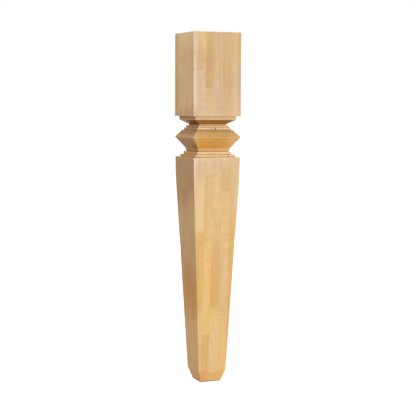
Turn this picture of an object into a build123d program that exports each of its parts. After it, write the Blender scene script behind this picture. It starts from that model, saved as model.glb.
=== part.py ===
from build123d import *
import os
from math import isclose

# All lengths are in millimetres. The post stands on its foot, with Z up its middle line and
# its four faces square to X and Y. It is milled from one glued blank, so it is one solid.

# The whole post, and the square block left at full width for the cabinet to meet
POST_HEIGHT = 876.3
BLOCK_WIDTH = 127.0
BLOCK_HEIGHT = 206.4

# The undercut below the block: an upright reveal, a sloping soffit and the narrow neck
REVEAL_WIDTH = 109.0
REVEAL_HEIGHT = 8.6
SOFFIT_HEIGHT = 11.1
NECK_WIDTH = 71.8
NECK_HEIGHT = 3.4

# The collar that steps out below the neck
COLLAR_UPPER_WIDTH = 82.8
COLLAR_UPPER_HEIGHT = 5.8
COLLAR_LOWER_WIDTH = 90.2
COLLAR_LOWER_HEIGHT = 5.6

# The ring: a bevel out to a sharp edge, then a slanting underside. The edge is worn to a
# round that starts this far to either side of it
RING_SHOULDER_WIDTH = 97.3
RING_WIDTH = 126.6
RING_BEVEL_HEIGHT = 17.4
RING_UNDERSIDE_HEIGHT = 30.0
RING_EDGE_EASE = 0.6

# The waist, where a cove turns the underside upright over the waist's whole height
WAIST_WIDTH = 82.0
WAIST_HEIGHT = 6.2

# The base that steps out from the waist to the shaft
BASE_UPPER_WIDTH = 91.8
BASE_UPPER_HEIGHT = 7.2
BASE_LOWER_WIDTH = 105.4
BASE_LOWER_HEIGHT = 6.0

# The shaft leaves its top upright and runs into a straight taper. A long arc eases the bend
# between them, and reaches from the shaft's top to as far again below the bend
SHAFT_TOP_WIDTH = 124.6
SHAFT_BEND_DROP = 36.0
SHAFT_FOOT_WIDTH = 74.9

# The foot, bevelled in from the taper to the face that stands on the floor
FOOT_HEIGHT = 29.4
FOOT_WIDTH = 54.0

# The upright corners of the block, the shaft and the foot are sanded to a small round
ARRIS_RADIUS = 1.2

# A corner of the outline that stays sharp
SHARP = 0.0

# Points closer together than this are one point
TOUCHING = 0.001


# Each member of the outline is its upper width, its lower width, its height, and how far to
# either side of its lower corner the outline is rounded

def block_members():
    """The block at the top."""
    return [(BLOCK_WIDTH, BLOCK_WIDTH, BLOCK_HEIGHT, SHARP)]


def moulding_members():
    """The mouldings from the block down to the shaft."""
    return [
        (REVEAL_WIDTH, REVEAL_WIDTH, REVEAL_HEIGHT, SHARP),
        (REVEAL_WIDTH, NECK_WIDTH, SOFFIT_HEIGHT, SHARP),
        (NECK_WIDTH, NECK_WIDTH, NECK_HEIGHT, SHARP),
        (COLLAR_UPPER_WIDTH, COLLAR_UPPER_WIDTH, COLLAR_UPPER_HEIGHT, SHARP),
        (COLLAR_LOWER_WIDTH, COLLAR_LOWER_WIDTH, COLLAR_LOWER_HEIGHT, SHARP),
        (RING_SHOULDER_WIDTH, RING_WIDTH, RING_BEVEL_HEIGHT, RING_EDGE_EASE),
        (RING_WIDTH, WAIST_WIDTH, RING_UNDERSIDE_HEIGHT, WAIST_HEIGHT),
        (WAIST_WIDTH, WAIST_WIDTH, WAIST_HEIGHT, SHARP),
        (BASE_UPPER_WIDTH, BASE_UPPER_WIDTH, BASE_UPPER_HEIGHT, SHARP),
        (BASE_LOWER_WIDTH, BASE_LOWER_WIDTH, BASE_LOWER_HEIGHT, SHARP),
    ]


def stacked_height(members):
    """Height of some members together."""
    return sum(height for _, _, height, _ in members)


def shaft_members():
    """The shaft and the foot, which take up the height that the members above them leave."""
    shaft_and_foot = POST_HEIGHT - stacked_height(block_members() + moulding_members())
    taper_height = shaft_and_foot - SHAFT_BEND_DROP - FOOT_HEIGHT
    return [
        (SHAFT_TOP_WIDTH, SHAFT_TOP_WIDTH, SHAFT_BEND_DROP, SHAFT_BEND_DROP),
        (SHAFT_TOP_WIDTH, SHAFT_FOOT_WIDTH, taper_height, SHARP),
        (SHAFT_FOOT_WIDTH, FOOT_WIDTH, FOOT_HEIGHT, SHARP),
    ]


def outline_corners():
    """Corners of the right-hand outline, each with its rounding, from the middle of the top
    face round to the middle of the foot."""
    level = POST_HEIGHT
    corners = [(Vector(0, level), SHARP)]
    for upper_width, lower_width, height, rounding in (
        block_members() + moulding_members() + shaft_members()
    ):
        shoulder = Vector(upper_width / 2, level)
        if (shoulder - corners[-1][0]).length > TOUCHING:
            corners.append((shoulder, SHARP))
        level -= height
        corners.append((Vector(lower_width / 2, level), rounding))
    corners.append((Vector(0, level), SHARP))
    return corners


def half_outline():
    """The right-hand outline as lines, with a tangent arc at each corner that is rounded."""
    corners = outline_corners()
    edges = []
    pen = corners[0][0]
    for (corner, rounding), (following, _) in zip(corners[1:], corners[2:] + corners[-1:]):
        line_end = corner
        if rounding > SHARP:
            line_end = corner + (pen - corner).normalized() * rounding
        if (line_end - pen).length > TOUCHING:
            edges.append(Line(pen, line_end))
        pen = corner
        if rounding > SHARP:
            pen = corner + (following - corner).normalized() * rounding
            edges.append(TangentArc(line_end, pen, tangent=corner - line_end))
    return Curve() + edges


def square_moulding():
    """The outline cut through the blank from the front and again from the side, so that the
    mouldings run round all four faces and mitre at the corners."""
    right_half = half_outline()
    section = Plane.XZ * make_face(right_half + mirror(right_half, about=Plane.YZ))
    widest = section.bounding_box().size.X
    from_the_front = extrude(section, amount=widest / 2, both=True)
    from_the_side = from_the_front.rotate(Axis.Z, 90)
    return from_the_front & from_the_side


def upright_arrises(moulding):
    """The four corners of the block, and those that run down the shaft and round the foot."""
    block_base = POST_HEIGHT - stacked_height(block_members())
    shaft_top = block_base - stacked_height(moulding_members())
    arrises = []
    for edge in moulding.edges():
        middle = edge.position_at(0.5)
        on_corner = isclose(abs(middle.X), abs(middle.Y), abs_tol=TOUCHING)
        if on_corner and not shaft_top < middle.Z < block_base:
            arrises.append(edge)
    return arrises


def make_post():
    """The whole post, standing on its foot."""
    moulding = square_moulding()
    return fillet(upright_arrises(moulding), ARRIS_RADIUS)


post = make_post()
post.label = "post"
os.makedirs("parts", exist_ok=True)
export_step(post, "parts/post.step")
print("post", post.bounding_box())
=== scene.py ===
# %% [markdown]
# # A tapered wooden post, dressed for its picture
#
# The real object is a square cabinet post, milled from a blank of glued hardwood staves and
# finished with clear satin lacquer. Its solid model already says how large it is and where it
# stands, so the first step is to load that model as a fixed frame and to measure it.
# Everything below is made round those measures, in metres, with +Z up the post.

# %% Load the frame and measure the post
from math import atan2, cos, pi, radians, sin, tan

import bpy
from mathutils import Color, Matrix, Vector


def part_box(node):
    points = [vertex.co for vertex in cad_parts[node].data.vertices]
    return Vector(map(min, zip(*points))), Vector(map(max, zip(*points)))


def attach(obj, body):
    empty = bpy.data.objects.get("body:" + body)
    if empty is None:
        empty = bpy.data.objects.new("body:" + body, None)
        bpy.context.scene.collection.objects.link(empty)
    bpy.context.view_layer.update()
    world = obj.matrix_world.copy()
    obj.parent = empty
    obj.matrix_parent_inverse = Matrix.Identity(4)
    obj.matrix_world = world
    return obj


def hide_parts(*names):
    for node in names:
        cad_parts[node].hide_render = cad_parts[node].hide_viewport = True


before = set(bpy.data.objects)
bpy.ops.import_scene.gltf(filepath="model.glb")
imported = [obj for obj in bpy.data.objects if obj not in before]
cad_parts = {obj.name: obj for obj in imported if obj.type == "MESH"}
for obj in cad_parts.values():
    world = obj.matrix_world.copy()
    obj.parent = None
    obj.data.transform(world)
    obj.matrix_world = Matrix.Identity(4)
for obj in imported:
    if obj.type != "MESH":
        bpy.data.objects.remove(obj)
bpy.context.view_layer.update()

MM = 0.001
LOWEST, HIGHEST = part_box("post")
POST_HEIGHT = HIGHEST.z - LOWEST.z
BLOCK_WIDTH = HIGHEST.x - LOWEST.x
print(f"the post is {BLOCK_WIDTH / MM:.1f} mm square and {POST_HEIGHT / MM:.1f} mm tall")

# %% [markdown]
# ## The outline
#
# Seen from the front, the post is a stack of members: block, undercut, neck, collars, ring,
# cove, waist, base, shaft and foot. Each one could be a box of its own, but then no moulding
# would run cleanly into the next. One outline that is carried round all four faces gives
# every mitre for nothing, so the members are written as a stack of widths and heights.

# %% Sizes of the members
BLOCK_HEIGHT = 206.4 * MM
REVEAL_WIDTH = 109.0 * MM
REVEAL_HEIGHT = 8.6 * MM
SOFFIT_HEIGHT = 11.1 * MM
NECK_WIDTH = 71.8 * MM
NECK_HEIGHT = 3.4 * MM
COLLAR_UPPER_WIDTH = 82.8 * MM
COLLAR_UPPER_HEIGHT = 5.8 * MM
COLLAR_LOWER_WIDTH = 90.2 * MM
COLLAR_LOWER_HEIGHT = 5.6 * MM
RING_SHOULDER_WIDTH = 97.3 * MM
RING_WIDTH = 126.6 * MM
RING_BEVEL_HEIGHT = 17.4 * MM
RING_UNDERSIDE_HEIGHT = 30.0 * MM
WAIST_WIDTH = 82.0 * MM
WAIST_HEIGHT = 6.2 * MM
BASE_UPPER_WIDTH = 91.8 * MM
BASE_UPPER_HEIGHT = 7.2 * MM
BASE_LOWER_WIDTH = 105.4 * MM
BASE_LOWER_HEIGHT = 6.0 * MM
SHAFT_TOP_WIDTH = 124.6 * MM
SHAFT_BEND_DROP = 36.0 * MM
SHAFT_FOOT_WIDTH = 74.9 * MM
FOOT_HEIGHT = 29.4 * MM
FOOT_WIDTH = 54.0 * MM

# How far a rounding reaches from the corner that it rounds
EASED = 0.4 * MM
RING_EDGE_EASE = 0.6 * MM

# %% [markdown]
# A real cutter leaves inner corners sharp, while sandpaper takes every outer corner off a
# little. So each corner of the outline carries two numbers of its own: how far its rounding
# reaches, and how much of the sanded upright corner is left at that height. The big flat
# faces are sanded most, and the small mouldings keep crisp mitres.

# %% Corners of the outline
SANDED = 1.0
CRISP = 0.35
MIDDLE = 0.0


def members():
    """Upper width, lower width, height, reach of the lower corner's rounding, and softness."""
    block = [(BLOCK_WIDTH, BLOCK_WIDTH, BLOCK_HEIGHT, EASED, SANDED)]
    mouldings = [
        (REVEAL_WIDTH, REVEAL_WIDTH, REVEAL_HEIGHT, EASED, CRISP),
        (REVEAL_WIDTH, NECK_WIDTH, SOFFIT_HEIGHT, EASED, CRISP),
        (NECK_WIDTH, NECK_WIDTH, NECK_HEIGHT, EASED, CRISP),
        (COLLAR_UPPER_WIDTH, COLLAR_UPPER_WIDTH, COLLAR_UPPER_HEIGHT, EASED, CRISP),
        (COLLAR_LOWER_WIDTH, COLLAR_LOWER_WIDTH, COLLAR_LOWER_HEIGHT, EASED, CRISP),
        (RING_SHOULDER_WIDTH, RING_WIDTH, RING_BEVEL_HEIGHT, RING_EDGE_EASE, CRISP),
        (RING_WIDTH, WAIST_WIDTH, RING_UNDERSIDE_HEIGHT, WAIST_HEIGHT, CRISP),
        (WAIST_WIDTH, WAIST_WIDTH, WAIST_HEIGHT, EASED, CRISP),
        (BASE_UPPER_WIDTH, BASE_UPPER_WIDTH, BASE_UPPER_HEIGHT, EASED, CRISP),
        (BASE_LOWER_WIDTH, BASE_LOWER_WIDTH, BASE_LOWER_HEIGHT, EASED, CRISP),
    ]
    above_shaft = sum(height for _, _, height, _, _ in block + mouldings)
    taper_height = POST_HEIGHT - above_shaft - SHAFT_BEND_DROP - FOOT_HEIGHT
    shaft = [
        (SHAFT_TOP_WIDTH, SHAFT_TOP_WIDTH, SHAFT_BEND_DROP, SHAFT_BEND_DROP, SANDED),
        (SHAFT_TOP_WIDTH, SHAFT_FOOT_WIDTH, taper_height, EASED, SANDED),
        (SHAFT_FOOT_WIDTH, FOOT_WIDTH, FOOT_HEIGHT, EASED, SANDED),
    ]
    return block + mouldings + shaft


def outline_corners():
    """Place, reach and softness of each corner, from the middle of the top to that of the foot."""
    level = POST_HEIGHT
    corners = [(Vector((0, level)), 0, MIDDLE)]
    for upper_width, lower_width, height, reach, softness in members():
        shoulder = Vector((upper_width / 2, level))
        if (shoulder - corners[-1][0]).length > EASED:
            corners.append((shoulder, EASED, softness))
        level -= height
        corners.append((Vector((lower_width / 2, level)), reach, softness))
    corners.append((Vector((0, level)), 0, MIDDLE))
    return corners


print(f"{len(outline_corners())} corners in the half outline")

# %% [markdown]
# Smooth shading spreads the look of a tiny rounding over the whole flat face beside it. A
# weighted normal would cure that, but it's lost when the mesh goes elsewhere. An extra point
# just past each rounding does the same job in plain geometry: it holds the flat face flat.

# %% Rounding radii and holding points
HOLD = 0.3 * MM
SHORTEST_HELD = 3 * HOLD
LEAST_TURN = radians(1)


def fillet_radius(before, corner, after, reach):
    """Radius of the arc that starts and ends that far from the corner. An inner corner stays
    sharp, apart from the cove, which is the one large rounding there."""
    way_in = corner - before
    way_out = after - corner
    turn = atan2(way_in.cross(way_out), way_in.dot(way_out))
    is_inner = turn > 0
    if abs(turn) < LEAST_TURN or (is_inner and reach < WAIST_HEIGHT):
        return 0
    return reach / tan(abs(turn) / 2)


def held_outline():
    """Place, arc radius and softness of every point of the outline."""
    corners = outline_corners()
    points = [(corners[0][0], 0, MIDDLE)]
    for index in range(1, len(corners)):
        before, reach_before, softness_before = corners[index - 1]
        corner, reach, softness = corners[index]
        along = corner - before
        room = along.length - reach_before - reach
        if room > SHORTEST_HELD:
            step = along.normalized()
            if softness_before > MIDDLE:
                points.append((before + step * (reach_before + HOLD), 0, softness_before))
            if softness > MIDDLE:
                points.append((corner - step * (reach + HOLD), 0, softness))
        radius = 0
        if index < len(corners) - 1:
            radius = fillet_radius(before, corner, corners[index + 1][0], reach)
        points.append((corner, radius, softness))
    return points


def line_mesh(name, places):
    """A mesh that is only a line through some places."""
    mesh = bpy.data.meshes.new(name)
    links = [(start, start + 1) for start in range(len(places) - 1)]
    mesh.from_pydata(places, links, [])
    return mesh


OUTLINE = held_outline()
outline_mesh = line_mesh("post_outline", [(place.x, 0, place.y) for place, _, _ in OUTLINE])
for name, column in (("arc_radius", 1), ("softness", 2)):
    attribute = outline_mesh.attributes.new(name, "FLOAT", "POINT")
    attribute.data.foreach_set("value", [point[column] for point in OUTLINE])
post = bpy.data.objects.new("post_wood", outline_mesh)
bpy.context.scene.collection.objects.link(post)
print(f"{len(OUTLINE)} points in the outline, with those that hold the flats")

# %% [markdown]
# ## The corner
#
# Looked at from above, each upright corner is a small round, and a sanded face falls away by a
# hair before it gets there. That hair is what catches the light as a pale band beside the edge
# on satin wood. The corner is drawn once, as the distance that each point keeps from the two
# faces that meet there, so the same drawing fits a wide block and a narrow foot.

# %% Section of one corner
ARRIS_RADIUS = 1.2 * MM
SANDED_WIDTH = 10.0 * MM
SANDED_DEPTH = 0.25 * MM
FLANK_POINTS = 6
ARC_POINTS = 7


def corner_section():
    """Insets from the two faces, from the first face round to the second."""
    start = SANDED_DEPTH + ARRIS_RADIUS
    flank = []
    for index in range(FLANK_POINTS):
        share = index / FLANK_POINTS
        away = SANDED_WIDTH + (start - SANDED_WIDTH) * share
        flank.append((SANDED_DEPTH * share ** 2, away))
    flank.append((SANDED_DEPTH, start + HOLD))
    arc = []
    for index in range(ARC_POINTS):
        angle = pi / 2 * index / (ARC_POINTS - 1)
        arc.append((start - ARRIS_RADIUS * cos(angle), start - ARRIS_RADIUS * sin(angle)))
    other_flank = [(inset, away) for away, inset in reversed(flank)]
    return flank + arc + other_flank


CORNER = corner_section()
corner_mesh = line_mesh("corner_section", [(*place, 0) for place in CORNER])
corner = bpy.data.objects.new("corner_section", corner_mesh)
bpy.context.scene.collection.objects.link(corner)
corner.hide_render = True
print(f"{len(CORNER)} points in the corner section")

# %% [markdown]
# ## Nodes, briefly
#
# Both the shape and the finish are built from nodes. A few helpers keep that readable: one adds
# a node and wires it in the same line, and the others name the sums that turn up most often.

# %% A bench for building node trees
HALF = 0.5


class Bench:
    """Adds nodes to one tree, and wires each one as it is added."""

    def __init__(self, tree):
        self.tree = tree

    def feed(self, socket, value):
        """Links a socket to another one, or sets its value."""
        if isinstance(value, bpy.types.NodeSocket):
            self.tree.links.new(value, socket)
        else:
            socket.default_value = value

    def add(self, kind, inputs=(), **settings):
        """A new node. Inputs go by name or by place, and settings by their Python name."""
        node = self.tree.nodes.new(kind)
        for name, value in settings.items():
            setattr(node, name, value)
        for name, value in dict(inputs).items():
            self.feed(node.inputs[name], value)
        return node

    def calc(self, operation, *values):
        """The result of one sum."""
        node = self.add("ShaderNodeMath", dict(enumerate(values)), operation=operation)
        return node.outputs[0]

    def choose(self, share, first, second):
        """A number between first, at share 0, and second, at share 1."""
        node = self.add("ShaderNodeMix", {0: share, 2: first, 3: second}, clamp_factor=True)
        return node.outputs[0]

    def vector(self, x=0, y=0, z=0):
        """A vector from three numbers."""
        return self.add("ShaderNodeCombineXYZ", {0: x, 1: y, 2: z}).outputs[0]


# %% [markdown]
# ## The shape
#
# The post follows a rule: at every height its section is the same sanded square, only wider or
# narrower. Geometry Nodes can say exactly that. A flat grid has one row for each outline point
# and one column for each section point, and every grid point is sent to its place on the post.
# The seam and the two ends close when points that land together are merged.

# %% Geometry nodes that wrap a grid round the post
QUARTERS = 4
TOUCHING = 0.001 * MM


def wrapping_tree():
    """The node tree that turns the outline and the corner section into the post."""
    tree = bpy.data.node_groups.new("wrap_post", "GeometryNodeTree")
    face = tree.interface
    face.new_socket("Outline", in_out="INPUT", socket_type="NodeSocketGeometry")
    face.new_socket("Corner Section", in_out="INPUT", socket_type="NodeSocketObject")
    face.new_socket("Rounding Steps", in_out="INPUT", socket_type="NodeSocketInt")
    face.new_socket("Merge Distance", in_out="INPUT", socket_type="NodeSocketFloat")
    face.new_socket("Crease Angle", in_out="INPUT", socket_type="NodeSocketFloat")
    face.new_socket("Material", in_out="INPUT", socket_type="NodeSocketMaterial")
    face.new_socket("Post", in_out="OUTPUT", socket_type="NodeSocketGeometry")

    bench = Bench(tree)
    given = bench.add("NodeGroupInput").outputs

    def outline_value(name):
        node = bench.add("GeometryNodeInputNamedAttribute", {"Name": name}, data_type="FLOAT")
        return node.outputs["Attribute"]

    curve = bench.add("GeometryNodeMeshToCurve", {"Mesh": given["Outline"]})
    rounded = bench.add(
        "GeometryNodeFilletCurve",
        {
            "Curve": curve.outputs["Curve"],
            "Count": given["Rounding Steps"],
            "Radius": outline_value("arc_radius"),
            "Limit Radius": True,
        },
        mode="POLY",
    )
    section = bench.add(
        "GeometryNodeObjectInfo", {"Object": given["Corner Section"]}, transform_space="ORIGINAL"
    )
    outline = rounded.outputs["Curve"]
    insets = section.outputs["Geometry"]
    rows = bench.add("GeometryNodeAttributeDomainSize", {"Geometry": outline}, component="CURVE")
    steps = bench.add("GeometryNodeAttributeDomainSize", {"Geometry": insets}, component="MESH")
    row_count = rows.outputs["Point Count"]
    step_count = steps.outputs["Point Count"]
    column_count = bench.calc("MULTIPLY_ADD", step_count, QUARTERS, 1)
    grid = bench.add("GeometryNodeMeshGrid", {"Vertices X": row_count, "Vertices Y": column_count})

    def whole_times(value, size):
        """How many whole times a size goes into a value. The half guards against rounding."""
        return bench.calc("FLOOR", bench.calc("DIVIDE", bench.calc("ADD", value, HALF), size))

    index = bench.add("GeometryNodeInputIndex").outputs[0]
    row = whole_times(index, column_count)
    column = bench.calc("SUBTRACT", index, bench.calc("MULTIPLY", row, column_count))
    quarter = whole_times(column, step_count)
    step = bench.calc("SUBTRACT", column, bench.calc("MULTIPLY", quarter, step_count))

    position = bench.add("GeometryNodeInputPosition").outputs[0]

    def sample(geometry, value, at, kind):
        node = bench.add("GeometryNodeSampleIndex", data_type=kind, domain="POINT")
        for name, source in (("Geometry", geometry), ("Value", value), ("Index", at)):
            socket = next(s for s in node.inputs if s.name == name and s.enabled)
            bench.feed(socket, source)
        return next(s for s in node.outputs if s.enabled)

    place = sample(outline, position, row, "FLOAT_VECTOR")
    half_width, _, level = bench.add("ShaderNodeSeparateXYZ", {0: place}).outputs
    softness = sample(outline, outline_value("softness"), row, "FLOAT")
    inset = sample(insets, position, step, "FLOAT_VECTOR")
    first_inset, second_inset, _ = bench.add("ShaderNodeSeparateXYZ", {0: inset}).outputs
    across = bench.calc("SUBTRACT", half_width, bench.calc("MULTIPLY", first_inset, softness))
    deep = bench.calc("SUBTRACT", half_width, bench.calc("MULTIPLY", second_inset, softness))
    turned = bench.add(
        "ShaderNodeVectorRotate",
        {
            "Vector": bench.vector(across, deep, level),
            "Angle": bench.calc("MULTIPLY", quarter, 2 * pi / QUARTERS),
        },
        rotation_type="Z_AXIS",
    )
    wrapped = bench.add(
        "GeometryNodeSetPosition",
        {"Geometry": grid.outputs["Mesh"], "Position": turned.outputs[0]},
    )
    closed = bench.add(
        "GeometryNodeMergeByDistance",
        {"Geometry": wrapped.outputs[0], "Distance": given["Merge Distance"]},
    )
    smooth = bench.add("GeometryNodeSetShadeSmooth", {"Geometry": closed.outputs[0]}, domain="FACE")
    angle = bench.add("GeometryNodeInputMeshEdgeAngle").outputs["Unsigned Angle"]
    creased = bench.add(
        "GeometryNodeSetShadeSmooth",
        {
            "Geometry": smooth.outputs[0],
            "Selection": bench.calc("GREATER_THAN", angle, given["Crease Angle"]),
            "Shade Smooth": False,
        },
        domain="EDGE",
    )
    real = bench.add("GeometryNodeRealizeInstances", {"Geometry": creased.outputs[0]})
    finished = bench.add(
        "GeometryNodeSetMaterial", {"Geometry": real.outputs[0], "Material": given["Material"]}
    )
    bench.add("NodeGroupOutput", {0: finished.outputs[0]})
    return tree


wrap_post = wrapping_tree()
print(f"{len(wrap_post.nodes)} nodes wrap the post")

# %% [markdown]
# A modifier runs the tree. Its inputs are set by each socket's identifier, before anything
# evaluates the object. The result is then copied into a plain mesh and the modifier is taken
# off, because a mesh goes everywhere and a modifier doesn't.

# %% Run the tree and keep its mesh
ROUNDING_STEPS = 6
CREASE_ANGLE = radians(28)

lacquered_wood = bpy.data.materials.new("lacquered_wood")
lacquered_wood.use_nodes = True


def run_tree(piece, tree, settings):
    """Gives the piece what the tree makes of it, as a plain mesh of one material."""
    modifier = piece.modifiers.new(tree.name, "NODES")
    modifier.node_group = tree
    for socket in tree.interface.items_tree:
        if socket.name in settings:
            modifier[socket.identifier] = settings[socket.name]
    evaluated = piece.evaluated_get(bpy.context.evaluated_depsgraph_get())
    mesh = bpy.data.meshes.new_from_object(evaluated)
    piece.modifiers.remove(modifier)
    mesh.materials.clear()
    mesh.materials.append(settings["Material"])
    mesh.polygons.foreach_set("material_index", [0] * len(mesh.polygons))
    piece.data = mesh
    return mesh


settings = {
    "Corner Section": corner,
    "Rounding Steps": ROUNDING_STEPS,
    "Merge Distance": TOUCHING,
    "Crease Angle": CREASE_ANGLE,
    "Material": lacquered_wood,
}
post_mesh = run_tree(post, wrap_post, settings)
print(f"{len(post_mesh.polygons)} faces and {len(post_mesh.vertices)} vertices round the post")

# %% [markdown]
# ## Where a point of the wood lies
#
# The finish is painted in the post's own coordinates, so it stays in the wood from any side. The
# front and back show staves side by side along X, and the two sides show them along Y. A point
# belongs to a side when it is further out in X than in Y. A stave runs right through the blank,
# so the back shows the staves of the front in mirrored order, and the right side those of the
# left. The rings and fibres are solid too, and come out differently on each face. The two faces
# that the picture hides are marked as well, so that their staves can differ by chance.

# %% Coordinates on the faces
END_FACE_SLOPE = 0.9

bench = Bench(lacquered_wood.node_tree)
bench.tree.nodes.clear()
coordinates = bench.add("ShaderNodeTexCoord").outputs
in_wood = coordinates["Object"]
x, y, z = bench.add("ShaderNodeSeparateXYZ", {0: in_wood}).outputs
facing = bench.add("ShaderNodeSeparateXYZ", {0: coordinates["Normal"]}).outputs
slope = bench.calc("ABSOLUTE", facing[2])
is_upright = bench.calc("LESS_THAN", slope, END_FACE_SLOPE)
is_wider_in_x = bench.calc("GREATER_THAN", bench.calc("ABSOLUTE", x), bench.calc("ABSOLUTE", y))
is_side = bench.calc("MULTIPLY", is_wider_in_x, is_upright)
across = bench.choose(is_side, x, y)
is_hidden = bench.calc("GREATER_THAN", bench.choose(is_side, y, x), 0)
is_hidden = bench.calc("MULTIPLY", is_hidden, is_upright)
print(f"{len(bench.tree.nodes)} nodes place a point on its face")

# %% [markdown]
# ## Staves and boards
#
# The blank is glued up from staves about 22 mm wide. A random pattern of tones would do for any
# blank, but this one has places that stand out: a dark short board in the middle of the block,
# an amber run half-way down the shaft, a darker board with a crisp end above the foot, and a
# pale strip along the near edge. So the staves are listed one by one. The tone of a stave drifts
# along its length, as wood does, and only the short boards begin and end with a hard step.
# The mouldings have tones of their own, and these also hold painted shade, in dark bands under
# the ledges and on the side's mouldings, and painted light, in pale bands on the ledges.

# %% Tones and the list of staves
# Red, green and blue as a screen shows them
BRIGHTEST = 255
TONES = {
    "bone": (232, 211, 187),
    "cream": (234, 204, 167),
    "straw": (239, 203, 148),
    "flax": (236, 199, 140),
    "wheat": (241, 197, 129),
    "maple": (231, 191, 133),
    "peach": (224, 190, 147),
    "rose": (217, 184, 143),
    "hay": (224, 191, 138),
    "honey": (222, 185, 133),
    "tan": (216, 177, 121),
    "russet": (212, 169, 114),
    "biscuit": (226, 180, 114),
    "amber": (233, 185, 113),
    "beige": (231, 189, 137),
    "sand": (234, 184, 124),
    "fawn": (214, 168, 116),
    "ginger": (215, 154, 80),
    "umber": (197, 153, 102),
    "walnut": (181, 134, 80),
}

# A tone that a stave passes through on its way up, at a height in millimetres
# On the mouldings these tones also hold painted shade, in dark bands just under the ledges, and
# painted light, in pale bands on them
FRONT_MOULDING_TONES_LIGHT_AND_SHADE = [(571, "straw"), (574, "maple"), (577, "straw"), (580, "cream"), (584, "biscuit"),
                   (598, "maple"), (629, "maple"), (633, "tan"), (636.5, "tan"), (638, "cream"),
                   (640, "cream"), (643, "maple")]
# The side's mouldings are painted darker, as painted shade under the block's overhang
SIDE_MOULDING_TONES_AND_SHADE = [(565, "umber"), (571, "fawn"), (579, "fawn"), (585, "walnut"), (594, "umber"),
                  (612, "umber"), (617, "fawn"), (620, "fawn"), (627, "walnut"), (634, "walnut"),
                  (637, "umber"), (640, "umber"), (643, "walnut"), (648, "walnut"), (662, "ginger"),
                  (669, "fawn")]

# The staves of the side are well matched, and pass through the same tones a little higher or
# lower than each other
SIDE_SHAFT = [(140, "sand"), (335, "fawn"), (400, "tan"), (437, "fawn"), (488, "umber")]
SIDE_BLOCK = [(705, "beige"), (815, "beige"), (866, "straw")]


def raised(stops, rise):
    """The same tones, that many millimetres further up."""
    return [(place + rise, tone) for place, tone in stops]


# Each stave is its right-hand edge, the tones it passes through, and the short boards let into
# it, with the bottom, the top and the tone of each
TOP = POST_HEIGHT / MM
FRONT_STAVES = [
    (-53.4, [(390, "straw"), (480, "straw"), (530, "cream"), (562, "bone"), *FRONT_MOULDING_TONES_LIGHT_AND_SHADE,
             (680, "peach"), (712, "bone"), (770, "bone"), (800, "cream"), (876, "bone")], []),
    (-31.0, [(165, "wheat"), (200, "amber"), (370, "amber"), (400, "straw"), (480, "straw"),
             (555, "peach"), *FRONT_MOULDING_TONES_LIGHT_AND_SHADE, (680, "rose"), (760, "peach"), (810, "honey"),
             (860, "flax")], []),
    (-10.4, [(340, "wheat"), (440, "maple"), (520, "honey"), (560, "peach"), *FRONT_MOULDING_TONES_LIGHT_AND_SHADE,
             (690, "honey"), (735, "honey"), (820, "tan"), (860, "honey")],
     [(0, 124, "sand"), (739, 816, "russet")]),
    (14.0, [(110, "flax"), (175, "wheat"), (205, "biscuit"), (310, "biscuit"), (400, "maple"),
            (480, "maple"), (530, "honey"), (562, "rose"), *FRONT_MOULDING_TONES_LIGHT_AND_SHADE, (680, "rose"),
            (740, "rose"), (800, "honey"), (876, "peach")], []),
    (36.5, [(100, "wheat"), (200, "maple"), (450, "maple"), (520, "tan"), (560, "honey"),
            *FRONT_MOULDING_TONES_LIGHT_AND_SHADE, (690, "tan"), (770, "tan"), (850, "honey")], []),
    (55.5, [(190, "biscuit"), (390, "biscuit"), (450, "honey"), (530, "honey"), (562, "rose"),
            *FRONT_MOULDING_TONES_LIGHT_AND_SHADE, (690, "rose"), (760, "rose"), (830, "hay")], []),
    (BLOCK_WIDTH / 2 / MM, [(500, "honey"), (562, "honey"), *FRONT_MOULDING_TONES_LIGHT_AND_SHADE, (680, "tan")], []),
]
SIDE_STAVES = [
    (-52.0, [(150, "sand"), (335, "fawn"), (400, "maple"), (450, "fawn"), (500, "umber"),
             *SIDE_MOULDING_TONES_AND_SHADE, (690, "fawn"), *SIDE_BLOCK], []),
    (-28.0, [*raised(SIDE_SHAFT, 14), *SIDE_MOULDING_TONES_AND_SHADE, *SIDE_BLOCK], []),
    (-5.0, [*SIDE_SHAFT, *SIDE_MOULDING_TONES_AND_SHADE, *SIDE_BLOCK], []),
    (18.0, [*raised(SIDE_SHAFT, -20), *SIDE_MOULDING_TONES_AND_SHADE, (700, "beige"), (760, "maple"),
            (820, "maple"), (866, "straw")], []),
    (40.0, [*raised(SIDE_SHAFT, 6), *SIDE_MOULDING_TONES_AND_SHADE, *SIDE_BLOCK], []),
    (BLOCK_WIDTH / 2 / MM, [*raised(SIDE_SHAFT, -12), *SIDE_MOULDING_TONES_AND_SHADE, (700, "fawn"),
                            (860, "honey")], []),
]


def linear(tone):
    """The colour that a screen shows as this tone."""
    shown = Color([value / BRIGHTEST for value in tone])
    return (*shown.from_srgb_to_scene_linear(), 1)


print(f"{len(FRONT_STAVES)} staves across the front and {len(SIDE_STAVES)} across the side")

# %% [markdown]
# Each stave is one colour ramp up the post. Going across the face, every next stave takes over
# from the one before it at its edge. The staves of a good blank are picked to match, so the
# tones run together over a few millimetres there. Each stave and each short board also gets a
# number, because the grain of every piece of wood needs a start of its own.

# %% Colour and number of the stave at a point
EDGE_BLEND = 2.4 * MM


def tint(share, first, second, blend_type="MIX"):
    """A colour between first, at share 0, and second, at share 1."""
    node = bench.add(
        "ShaderNodeMix", {0: share, 6: first, 7: second}, data_type="RGBA", blend_type=blend_type
    )
    return node.outputs[2]


def soft_step(value, low, high):
    """0 below low, 1 above high, and a smooth rise between them."""
    inputs = {"Value": value, "From Min": low, "From Max": high}
    node = bench.add("ShaderNodeMapRange", inputs, interpolation_type="SMOOTHSTEP")
    return node.outputs["Result"]


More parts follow.
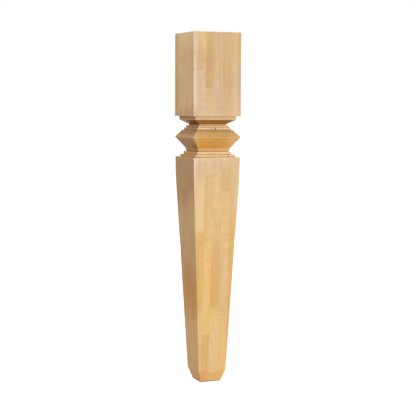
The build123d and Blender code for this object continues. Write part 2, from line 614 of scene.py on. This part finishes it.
def drifting_tone(stops):
    """A colour that drifts from tone to tone on its way up the post."""
    node = bench.add("ShaderNodeValToRGB", {0: bench.calc("DIVIDE", z, POST_HEIGHT)})
    ramp = node.color_ramp
    ramp.interpolation = "EASE"
    ramp.elements.remove(ramp.elements[-1])
    for index, (place, tone) in enumerate(stops):
        element = ramp.elements.new(place / TOP) if index else ramp.elements[0]
        element.position = place / TOP
        element.color = linear(TONES[tone])
    return node.outputs["Color"]


def make_stave(stops, boards):
    """Colour up one stave, and a half where one of its short boards lies."""
    colour = drifting_tone(stops)
    on_board = 0
    for bottom, top, tone in boards:
        is_above = bench.calc("GREATER_THAN", z, bottom * MM)
        is_inside = bench.calc("MULTIPLY", is_above, bench.calc("LESS_THAN", z, top * MM))
        colour = tint(is_inside, colour, linear(TONES[tone]))
        on_board = bench.calc("MULTIPLY_ADD", is_inside, HALF, on_board)
    return colour, on_board


def lay_staves(staves, number):
    """Colour across one face, the number of the piece of wood, and the distance to the nearest
    glue line. The staves are numbered from the given one on."""
    colour, on_board = make_stave(*staves[0][1:])
    piece = bench.calc("ADD", number, on_board)
    nearest = BLOCK_WIDTH
    for (edge, _, _), (_, stops, boards) in zip(staves, staves[1:]):
        number += 1
        past_edge = bench.calc("SUBTRACT", across, edge * MM)
        is_past = bench.calc("GREATER_THAN", past_edge, 0)
        next_colour, on_board = make_stave(stops, boards)
        colour = tint(soft_step(past_edge, -EDGE_BLEND, EDGE_BLEND), colour, next_colour)
        piece = bench.choose(is_past, piece, bench.calc("ADD", number, on_board))
        nearest = bench.calc("MINIMUM", nearest, bench.calc("ABSOLUTE", past_edge))
    return colour, piece, nearest


front_colour, front_piece, front_line = lay_staves(FRONT_STAVES, 0)
side_colour, side_piece, side_line = lay_staves(SIDE_STAVES, len(FRONT_STAVES))
stave_colour = tint(is_side, front_colour, side_colour)
glue_distance = bench.choose(is_side, front_line, side_line)
piece_number = bench.choose(is_side, front_piece, side_piece)
print(f"{len(bench.tree.nodes)} nodes lay the staves")

# %% [markdown]
# ## Growth rings and fibres
#
# Wood is a solid, so its grain has to agree where two faces meet and on the end of the post.
# That comes for free when the rings are cylinders round a pith that lies somewhere outside
# the board, leaning a little: a face cuts them into long lines and arches, and the ends cut
# them into arcs. Each board hides its pith in another place, drawn from its number.

# %% Rings round each board's own pith
RING_PITCH = 2.7 * MM
PITH_REACH = 90 * MM
PITH_LEAN = 0.05
LATE_WOOD_SHARPNESS = 3

# How many times noise repeats in a metre, across the wood and along it
WOBBLE_GRAIN = (9, 3)
WOBBLE = 6 * MM

# How many finer layers are laid over noise
SMOOTH = 0
SOFT = 1
LIVELY = 2
BUSY = 3


def noise(vector, layers):
    """Soft random values from 0 to 1 at the points of a vector."""
    inputs = {"Vector": vector, "Scale": 1, "Detail": layers}
    return bench.add("ShaderNodeTexNoise", inputs).outputs["Fac"]


def grain(vector, repeats, layers):
    """Noise that is pulled long, or pressed flat, by what it repeats across and along the wood."""
    across_repeats, along_repeats = repeats
    factors = (across_repeats, across_repeats, along_repeats)
    drawn = bench.add("ShaderNodeVectorMath", {0: vector, 1: factors}, operation="MULTIPLY")
    return noise(drawn.outputs[0], layers)


board_key = bench.vector(piece_number)
board_random = bench.add("ShaderNodeTexWhiteNoise", {"Vector": board_key}).outputs["Color"]
random_x, random_y, random_z = bench.add("ShaderNodeSeparateColor", {0: board_random}).outputs


def pith_offset(random, lean):
    """How far the pith lies from the post's middle line at this height."""
    sideways = bench.calc("MULTIPLY", bench.calc("SUBTRACT", random, HALF), 2 * PITH_REACH)
    leaning = bench.calc("MULTIPLY", bench.calc("SUBTRACT", lean, HALF), PITH_LEAN)
    return bench.calc("MULTIPLY_ADD", z, leaning, sideways)


def length(first, second):
    """Length of a flat vector."""
    inputs = {0: bench.vector(first, second)}
    return bench.add("ShaderNodeVectorMath", inputs, operation="LENGTH").outputs["Value"]


moved = bench.add("ShaderNodeVectorMath", {0: board_random, 1: in_wood}, operation="ADD")
board_start = moved.outputs[0]
wobble = grain(board_start, WOBBLE_GRAIN, SOFT)
drift = bench.calc("MULTIPLY", bench.calc("SUBTRACT", wobble, HALF), WOBBLE)
from_pith_x = bench.calc("SUBTRACT", x, pith_offset(random_x, random_z))
from_pith_y = bench.calc("SUBTRACT", y, pith_offset(random_y, random_x))
from_pith = length(from_pith_x, from_pith_y)
ring_count = bench.calc("DIVIDE", bench.calc("ADD", from_pith, drift), RING_PITCH)
ring_share = bench.calc("FRACT", ring_count)
late_wood = bench.calc("POWER", ring_share, LATE_WOOD_SHARPNESS)
print(f"{len(bench.tree.nodes)} nodes with the rings")

# %% [markdown]
# The rings show plainest on the two sawn ends, where no long fibre hides them. A tree has good
# years and lean ones, so they come in bands. The bands are noise that is read along one line,
# out from the pith, and each board reads it on a line of its own.

# %% Bands of rings on the sawn ends
RINGS_TO_A_BAND = 2.2
RING_LINE_SHADE = 0.16
RING_BAND_SHADE = 0.34

from_middle = bench.calc("ABSOLUTE", bench.calc("SUBTRACT", z, POST_HEIGHT / 2))
is_sawn_end = bench.calc("GREATER_THAN", from_middle, POST_HEIGHT / 2 - EASED)
band_place = bench.vector(bench.calc("DIVIDE", ring_count, RINGS_TO_A_BAND), piece_number)
ring_bands = noise(band_place, SOFT)
print(f"{len(bench.tree.nodes)} nodes with the sawn ends")

# %% [markdown]
# Over the rings lie the fibres, which are noise pulled long up the post, and the pores, which
# are short dark dashes a few tenths of a millimetre wide. Both start afresh in every board.

# %% Fibres, pores and glue lines
STREAK_GRAIN = (150, 5)
FIBRE_GRAIN = (700, 25)
CLOUD_GRAIN = (30, 16)
HUE_GRAIN = (110, 6)
PORE_GRAIN = (2100, 90)

# Where a soft step begins, and where it ends
PORE_STEP = (0.66, 0.74)
GLUE_STEP = (0.05 * MM, 0.3 * MM)

broad_streaks = grain(board_start, STREAK_GRAIN, BUSY)
fine_fibres = grain(board_start, FIBRE_GRAIN, LIVELY)
cloudiness = grain(board_start, CLOUD_GRAIN, BUSY)
hue_streaks = grain(board_start, HUE_GRAIN, LIVELY)
pores = soft_step(grain(board_start, PORE_GRAIN, SOFT), *PORE_STEP)
glue_line = bench.calc("SUBTRACT", 1, soft_step(glue_distance, *GLUE_STEP))
print(f"{len(bench.tree.nodes)} nodes with the fibres")

# %% [markdown]
# Each of these makes the wood a little lighter or darker. No tones are listed for the two hidden
# faces, so there each stave differs by chance as well. Darker wood is also more golden: in a
# shaded streak red falls least, and blue most.

# %% Shade of the grain
STREAK_SWING = 0.20
FIBRE_SWING = 0.14
CLOUD_SWING = 0.14
HUE_SWING = 0.22
HIDDEN_STAVE_SWING = 0.12
EARLY_WOOD_LIGHT = 1.012
LATE_WOOD_SHADE = 0.045
PORE_SHADE = 0.20
GLUE_SHADE = 0.08
RED_POWER = 0.7
GREEN_POWER = 1.3
BLUE_POWER = 2.5


def swing(value, depth):
    """A factor that goes as far above 1 as below it."""
    return bench.calc("MULTIPLY_ADD", bench.calc("SUBTRACT", value, HALF), depth, 1)


def product(*factors):
    """All the factors multiplied."""
    total, *others = factors
    for factor in others:
        total = bench.calc("MULTIPLY", total, factor)
    return total


ring_shade = bench.calc("MULTIPLY_ADD", late_wood, -LATE_WOOD_SHADE, EARLY_WOOD_LIGHT)
band_shade = swing(ring_bands, RING_BAND_SHADE)
end_shade = bench.calc("MULTIPLY_ADD", late_wood, -RING_LINE_SHADE, band_shade)
shade = product(
    swing(broad_streaks, STREAK_SWING),
    swing(fine_fibres, FIBRE_SWING),
    swing(cloudiness, CLOUD_SWING),
    bench.choose(is_sawn_end, ring_shade, end_shade),
    bench.calc("MULTIPLY_ADD", pores, -PORE_SHADE, 1),
    bench.calc("MULTIPLY_ADD", glue_line, -GLUE_SHADE, 1),
    swing(random_y, bench.calc("MULTIPLY", is_hidden, HIDDEN_STAVE_SWING)),
)
shaded_red = bench.calc("POWER", shade, RED_POWER)
shaded_green = bench.calc("POWER", shade, GREEN_POWER)
shaded_blue = product(bench.calc("POWER", shade, BLUE_POWER), swing(hue_streaks, HUE_SWING))


def multiplied(colour, factor):
    """A colour multiplied by another one."""
    return tint(1, colour, factor, "MULTIPLY")


grained = multiplied(stave_colour, bench.vector(shaded_red, shaded_green, shaded_blue))
print(f"{len(bench.tree.nodes)} nodes with the shades")

# %% [markdown]
# Some of these boards are curly: the fibres ripple, and the light that they send back makes
# faint bars across the grain. Two noises do it. One makes the bars, and a much larger one lets
# them show in patches only.

# %% Curly figure
CURL_SWING = 0.22
CURL_GRAIN = (40, 110)
PATCH_GRAIN = (14, 6)
PATCH_STEP = (0.45, 0.65)

curl_bars = grain(board_start, CURL_GRAIN, SOFT)
curl_patches = soft_step(grain(board_start, PATCH_GRAIN, SMOOTH), *PATCH_STEP)
curl = bench.choose(curl_patches, 1, swing(curl_bars, CURL_SWING))
grained = multiplied(grained, bench.vector(curl, curl, curl))
print(f"{len(bench.tree.nodes)} nodes with the curly figure")

# %% [markdown]
# Low on its left side the post is painted deeper and more golden. The patch has no straight
# edge, but runs out along the grain in long feathers. So the height at which it begins and ends
# is moved up and down by noise, which starts afresh in every stave.

# %% Golden patch low on the left side
BARE = (1, 1, 1, 1)
# A deeper, more golden tint, low on the left side only
LEFT_GOLDEN_TINT = (0.91, 0.745, 0.41, 1)
LEFT_GOLDEN_BOTTOM = (132 * MM, 200 * MM)
LEFT_GOLDEN_TOP = (242 * MM, 332 * MM)
FEATHER_REACH = 120 * MM
FEATHER_GRAIN = (90, 2)

feather = bench.calc("SUBTRACT", grain(board_start, FEATHER_GRAIN, LIVELY), HALF)
feathered_height = bench.calc("MULTIPLY_ADD", feather, FEATHER_REACH, z)
is_above_bottom = soft_step(feathered_height, *LEFT_GOLDEN_BOTTOM)
is_below_top = bench.calc("SUBTRACT", 1, soft_step(feathered_height, *LEFT_GOLDEN_TOP))
left_golden_share = product(is_above_bottom, is_below_top, is_side, bench.calc("LESS_THAN", x, 0))
grained = multiplied(grained, tint(left_golden_share, BARE, LEFT_GOLDEN_TINT))
print(f"{len(bench.tree.nodes)} nodes with the heartwood")

# %% [markdown]
# ## Cut end grain
#
# Where a cutter runs across the fibres, as on the ring's slopes, the ledges, the foot and the
# two ends, the open pores drink more lacquer. The wood turns deeper and more golden there, and
# the cutter leaves fine lines across the post. How much of it shows depends on how far the
# face leans from upright, so one value drives both. The same tint also holds painted light and
# shade: slopes that face up are painted lighter than those that face down, and the soffit under
# the block, which leans furthest, is painted darkest. Towards the two ends of the front the tint
# is weaker, so the slopes come out lighter there than in the middle. The short bevel of the foot
# hardly leans; the foot is painted more golden, partly as its own tone and partly as painted
# light on that down-facing bevel.

# %% Soaked slopes with painted light and shade, and the cutter's lines
# Painted light and shade: slopes facing up get a lighter tint than slopes facing down, and the
# soffit under the block gets the darkest, as painted shade
SOAK_AND_LIGHT_ABOVE = (0.88, 0.81, 0.67, 1)
SOAK_AND_SHADE_BELOW = (0.92, 0.71, 0.36, 1)
SOAK_AND_SHADE_SOFFIT = (0.56, 0.39, 0.20, 1)
SOAKED_END = (1.12, 0.98, 0.84, 1)
SIDE_SOAK_AND_SHADE = 0.7
# Towards the two ends of the front the tint is weaker, so the slopes come out lighter there
LIGHTER_END_SHARE = 0.45
DEEPEST_X = -8 * MM
LIGHTER_END_STEP = (28 * MM, 56 * MM)
LEANING_STEP = (0.38, 0.60)
SOFFIT_STEP = (0.66, 0.80)
# The foot's golden tint is partly its own tone and partly painted light on its down-facing bevel
GOLDEN_AND_LIT_FOOT = (1.08, 0.98, 0.82, 1)
FOOT_STEP = (0.4 * FOOT_HEIGHT, 1.3 * FOOT_HEIGHT)
CUTTER_GRAIN = (6, 420)
CUTTER_SWING = 0.35

end_grain = soft_step(slope, *LEANING_STEP)
is_soffit = soft_step(slope, *SOFFIT_STEP)
soak_and_shade_below = tint(is_soffit, SOAK_AND_SHADE_BELOW, SOAK_AND_SHADE_SOFFIT)
soak_and_shade_colour = tint(bench.calc("LESS_THAN", facing[2], 0), SOAK_AND_LIGHT_ABOVE, soak_and_shade_below)
soak_and_shade_colour = tint(is_sawn_end, soak_and_shade_colour, SOAKED_END)
from_wettest = bench.calc("ABSOLUTE", bench.calc("SUBTRACT", x, DEEPEST_X))
is_lighter_end = soft_step(from_wettest, *LIGHTER_END_STEP)
is_lighter_end = product(is_lighter_end, bench.calc("SUBTRACT", 1, is_soffit))
front_soak_and_shade = bench.choose(is_lighter_end, 1, LIGHTER_END_SHARE)
soak_and_shade_share = product(end_grain, bench.choose(is_side, front_soak_and_shade, SIDE_SOAK_AND_SHADE))
above_foot = soft_step(z, *FOOT_STEP)
cutter_shade = swing(grain(in_wood, CUTTER_GRAIN, SOFT), CUTTER_SWING)
cutter_lines = bench.choose(product(end_grain, is_upright), 1, cutter_shade)
grained = multiplied(grained, tint(above_foot, GOLDEN_AND_LIT_FOOT, BARE))
grained = multiplied(grained, tint(soak_and_shade_share, BARE, soak_and_shade_colour))
grained = multiplied(grained, bench.vector(cutter_lines, cutter_lines, cutter_lines))
print(f"{len(bench.tree.nodes)} nodes with the end grain")

# %% [markdown]
# Inner corners get painted shade: the ambient occlusion node sees how closed in a point is, and
# darkens it into thin brown lines under every ledge. Outer edges get a painted highlight: the
# same node, looking inside the wood, sees how near a point is to an edge, and makes it a little
# paler there. One upright edge, between the front and the left side, also gets a narrow painted
# highlight along it, which is strongest on the block and fades down the shaft.

# %% Painted shade in inner corners and painted highlights on edges
# Painted shade: inner corners are darkened and browned
CREVICE_SHADE_REACH = 3.8 * MM
CREVICE_SHADE = (0.60, 0.42, 0.20, 1)
# Painted highlight: outer edges are made paler
EDGE_HIGHLIGHT_REACH = 2.4 * MM
EDGE_HIGHLIGHT = (1.28, 1.26, 1.20, 1)
OPEN_STEP = (0.45, 0.95)
OCCLUSION_SAMPLES = 8
# Painted highlight along the upright edge between the front and the left side
NEAR_ARRIS_WIDTH = 2.8 * MM
NEAR_ARRIS_RISE = (0.1 * POST_HEIGHT, 0.9 * POST_HEIGHT)
NEAR_ARRIS_HIGHLIGHT = (1.20, 1.28, 1.32, 1)


def closed_share(reach, inside):
    """0 at an open place, and up to 1 at one with wood, or an edge, within reach."""
    node = bench.add(
        "ShaderNodeAmbientOcclusion", {"Distance": reach}, samples=OCCLUSION_SAMPLES, inside=inside
    )
    return bench.calc("SUBTRACT", 1, soft_step(node.outputs["AO"], *OPEN_STEP))


crevice_shade = closed_share(CREVICE_SHADE_REACH, False)
edge_highlight = closed_share(EDGE_HIGHLIGHT_REACH, True)
beside_arris = bench.calc("ABSOLUTE", bench.calc("SUBTRACT", x, y))
# The painted highlight is strongest high up and fades down the shaft
near_arris_highlight = product(
    bench.calc("SUBTRACT", 1, soft_step(beside_arris, 0, NEAR_ARRIS_WIDTH)),
    bench.calc("LESS_THAN", bench.calc("ADD", x, y), 0),
    is_upright,
    soft_step(z, *NEAR_ARRIS_RISE),
)
grained = multiplied(grained, tint(crevice_shade, BARE, CREVICE_SHADE))
grained = multiplied(grained, tint(edge_highlight, BARE, EDGE_HIGHLIGHT))
grained = multiplied(grained, tint(near_arris_highlight, BARE, NEAR_ARRIS_HIGHLIGHT))
print(f"{len(bench.tree.nodes)} nodes with the corners and edges")

# %% [markdown]
# ## Natural marks
#
# Two small brown mineral marks sit on the front mouldings, one on the collar and one on the
# base. They are in the wood, so they are painted and not modelled: a soft-edged ellipse at a
# place across and up the front face, with an edge that noise makes uneven.

# %% Marks in the wood
MARK_BROWN = (108, 64, 26)
MARK_ORANGE = (178, 112, 52)
MARK_PALE = (244, 222, 190)

# Each mark is its place across and up the front and its width and height, all in millimetres,
# then its tone, and how much of the wood it hides
MARKS = [
    (2.1, 639.0, 3.2, 8.6, MARK_BROWN, 0.85),
    (34.6, 572.5, 3.0, 8.0, MARK_ORANGE, 0.7),
    (39.6, 572.5, 4.5, 7.0, MARK_PALE, 0.8),
]
RAGGED_GRAIN = (900, 900)
RAGGED_DEPTH = 0.8
MARK_EDGE_STEP = (0.7, 1.2)

is_front = product(bench.calc("LESS_THAN", y, 0), bench.calc("SUBTRACT", 1, is_side))
ragged = bench.calc("SUBTRACT", grain(in_wood, RAGGED_GRAIN, SOFT), HALF)


def add_mark(colour, mark_x, mark_z, width, height, tone, strength):
    """Lays a soft ellipse of a tone over the colour, on the front face only."""
    side_share = bench.calc("DIVIDE", bench.calc("SUBTRACT", x, mark_x * MM), width * MM / 2)
    rise_share = bench.calc("DIVIDE", bench.calc("SUBTRACT", z, mark_z * MM), height * MM / 2)
    uneven = bench.calc("MULTIPLY_ADD", ragged, RAGGED_DEPTH, length(side_share, rise_share))
    inside = bench.calc("SUBTRACT", 1, soft_step(uneven, *MARK_EDGE_STEP))
    return tint(product(inside, is_front, strength), colour, linear(tone))


marked = grained
for mark in MARKS:
    marked = add_mark(marked, *mark)
print(f"{len(bench.tree.nodes)} nodes with {len(MARKS)} patches in the marks")

# %% [markdown]
# ## The lacquer
#
# Clear satin lacquer over sanded wood is one shader with two layers. The wood itself is matt, and
# the thin clear coat over it gives the soft shine. Bare paint with no relief would look printed,
# so the pores, the rings, the fibres, the cutter's lines and the glue lines also go into a very
# shallow bump.

# %% Satin finish
RELIEF_DEPTH = 0.15 * MM
RELIEF_STRENGTH = 0.35
PORE_RELIEF = -0.5
LATE_WOOD_RELIEF = 0.15
FIBRE_RELIEF = 0.25
CUTTER_RELIEF = 0.8
GLUE_RELIEF = -0.3
WOOD_ROUGHNESS = 0.44
STREAK_ROUGHNESS = 0.12
END_GRAIN_ROUGHNESS = 0.12
PORE_ROUGHNESS = 0.15
WOOD_IOR = 1.5
MATT = 0.0
COAT_WEIGHT = 0.3
COAT_ROUGHNESS = 0.25


def weighted_sum(start, *parts):
    """The start with some values added, each multiplied by its weight."""
    total = start
    for value, weight in parts:
        total = bench.calc("MULTIPLY_ADD", value, weight, total)
    return total


height = weighted_sum(
    0,
    (pores, PORE_RELIEF),
    (late_wood, LATE_WOOD_RELIEF),
    (fine_fibres, FIBRE_RELIEF),
    (cutter_lines, CUTTER_RELIEF),
    (glue_line, GLUE_RELIEF),
)
relief = bench.add(
    "ShaderNodeBump", {"Strength": RELIEF_STRENGTH, "Distance": RELIEF_DEPTH, "Height": height}
)
roughness = weighted_sum(
    WOOD_ROUGHNESS,
    (bench.calc("SUBTRACT", broad_streaks, HALF), STREAK_ROUGHNESS),
    (end_grain, END_GRAIN_ROUGHNESS),
    (pores, PORE_ROUGHNESS),
)
shader = bench.add(
    "ShaderNodeBsdfPrincipled",
    {
        "Base Color": marked,
        "Roughness": roughness,
        "IOR": WOOD_IOR,
        "Specular IOR Level": MATT,
        "Coat Weight": COAT_WEIGHT,
        "Coat Roughness": COAT_ROUGHNESS,
        "Normal": relief.outputs[0],
    },
)
bench.add("ShaderNodeOutputMaterial", {0: shader.outputs[0]})
print(f"{len(bench.tree.nodes)} nodes in the finished wood")

# %% [markdown]
# ## The studio
#
# The picture shows the post cut out on plain white, lit evenly from the camera's side with the
# side face in soft shade. An even world gives that shade its level, and the lamps further on
# lift the front. White behind the post comes from what the camera, the gloss and glass see of
# the world and the floor, and never from more light on the wood.

# %% World and floor
FILL = 0.58
FULL_WHITE = 1.0
WHITE = (1, 1, 1, 1)
FLOOR_COLOUR = (0.50, 0.50, 0.50, 1)
FLOOR_GLOW = 0.78
FLOOR_SIZE = 60.0


def seen_directly(bench):
    """1 for a ray that the camera, a reflection or glass sends, and 0 for the light's own."""
    path = bench.add("ShaderNodeLightPath").outputs
    seen = bench.calc("MAXIMUM", path["Is Camera Ray"], path["Is Glossy Ray"])
    return bench.calc("MAXIMUM", seen, path["Is Transmission Ray"])


world = bpy.data.worlds.new("studio")
world.use_nodes = True
bpy.context.scene.world = world
world_bench = Bench(world.node_tree)
world_bench.tree.nodes.clear()
world_strength = world_bench.choose(seen_directly(world_bench), FILL, FULL_WHITE)
background = world_bench.add("ShaderNodeBackground", {"Color": WHITE, "Strength": world_strength})
world_bench.add("ShaderNodeOutputWorld", {0: background.outputs[0]})

floor_material = bpy.data.materials.new("pale_floor")
floor_material.use_nodes = True
floor_bench = Bench(floor_material.node_tree)
floor_bench.tree.nodes.clear()
matt = floor_bench.add("ShaderNodeBsdfDiffuse", {"Color": FLOOR_COLOUR})
glow_strength = floor_bench.calc("MULTIPLY", seen_directly(floor_bench), FLOOR_GLOW)
glow = floor_bench.add("ShaderNodeEmission", {"Color": WHITE, "Strength": glow_strength})
both = floor_bench.add("ShaderNodeAddShader", {0: matt.outputs[0], 1: glow.outputs[0]})
floor_bench.add("ShaderNodeOutputMaterial", {0: both.outputs[0]})

floor_corners = []
for x_side, y_side in ((-1, -1), (1, -1), (1, 1), (-1, 1)):
    floor_corners.append((x_side * FLOOR_SIZE / 2, y_side * FLOOR_SIZE / 2, 0))
floor_mesh = bpy.data.meshes.new("floor")
floor_mesh.from_pydata(floor_corners, [], [range(len(floor_corners))])
floor_mesh.materials.append(floor_material)
floor = bpy.data.objects.new("floor", floor_mesh)
bpy.context.scene.collection.objects.link(floor)
print(f"a floor {FLOOR_SIZE:.0f} m across")

# %% [markdown]
# Four soft lamps light the post. The key lamp, low on the right, lifts the front. A small one
# next to it adds a sheen to the coat, one up on the left lightens the top of the left side, and
# one behind keeps the back from going dull in other views. A lamp's light falls with the square
# of the distance, so its power is worked out from the light that is wanted at the post. Then it
# can be moved without growing brighter or dimmer.

# %% Soft lamps
AIM = Vector((0, 0, POST_HEIGHT / 2))

# Each lamp is its name, its azimuth in degrees, its height, distance and size in metres, and its
# share of full light. Azimuth 0 is in front of the post, and a positive one is to its right
LAMPS = [
    ("key_lamp", 40, 0.15, 2.2, 1.1, 0.74),
    ("sheen_lamp", 19, 0.59, 2.6, 0.40, 0.10),
    ("upper_left_lamp", -95, 1.50, 1.3, 0.6, 0.16),
    ("back_lamp", 165, 0.90, 3.2, 1.6, 0.35),
]


def soft_lamp(name, azimuth, height, distance, size, light):
    """A square lamp that makes white wood, where it faces the lamp, this share of full white."""
    around = radians(azimuth)
    place = Vector((distance * sin(around), -distance * cos(around), height))
    to_post = AIM - place
    lamp = bpy.data.lights.new(name, "AREA")
    lamp.size = size
    lamp.energy = light * pi ** 2 * to_post.length_squared
    piece = bpy.data.objects.new(name, lamp)
    piece.location = place
    piece.rotation_euler = to_post.to_track_quat("-Z", "Y").to_euler()
    bpy.context.scene.collection.objects.link(piece)


for lamp_values in LAMPS:
    soft_lamp(*lamp_values)
print(f"{len(LAMPS)} soft lamps round the post")

# %% [markdown]
# ## The camera
#
# The camera was found by matching the corners of the block, the ring and the foot with the
# picture: how far it turns round the post, how high it stands, how it tilts and rolls, and
# how long its lens is. The lens is given as a focal length in pixels of the square picture.

# %% Camera
PICTURE_WIDTH = 416
FOCAL_PIXELS = 1215.0
SENSOR_WIDTH = 36.0
CAMERA_DISTANCE = 3.0554
CAMERA_ASIDE = -2.27 * MM
CAMERA_HEIGHT = 697.9 * MM
CAMERA_TURN = radians(22.81)
CAMERA_TILT = radians(4.85)
CAMERA_ROLL = radians(0.25)

camera_data = bpy.data.cameras.new("camera")
camera_data.sensor_width = SENSOR_WIDTH
camera_data.lens = SENSOR_WIDTH * FOCAL_PIXELS / PICTURE_WIDTH
ahead = Vector((sin(CAMERA_TURN), cos(CAMERA_TURN), 0))
rightward = Vector((cos(CAMERA_TURN), -sin(CAMERA_TURN), 0))
eye = -CAMERA_DISTANCE * ahead - CAMERA_ASIDE * rightward + Vector((0, 0, CAMERA_HEIGHT))
turn = Matrix.Rotation(-CAMERA_TURN, 4, "Z")
tilt = Matrix.Rotation(pi / 2 - CAMERA_TILT, 4, "X")
roll = Matrix.Rotation(CAMERA_ROLL, 4, "Z")
camera = bpy.data.objects.new("camera", camera_data)
camera.matrix_world = Matrix.Translation(eye) @ turn @ tilt @ roll
bpy.context.scene.collection.objects.link(camera)
bpy.context.scene.camera = camera
bpy.context.scene.view_settings.view_transform = "Standard"
print(f"a {camera_data.lens:.1f} mm lens, {CAMERA_DISTANCE:.2f} m away")

# %% [markdown]
# ## Handing the post over
#
# The finished mesh takes the place of the plain solid, which is hidden, and rides on the one
# body there is. Its finish is the lacquered wood that it was given above. The drawing of the
# corner has done its work and goes.

bpy.data.objects.remove(corner)
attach(post, "root")
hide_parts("post")
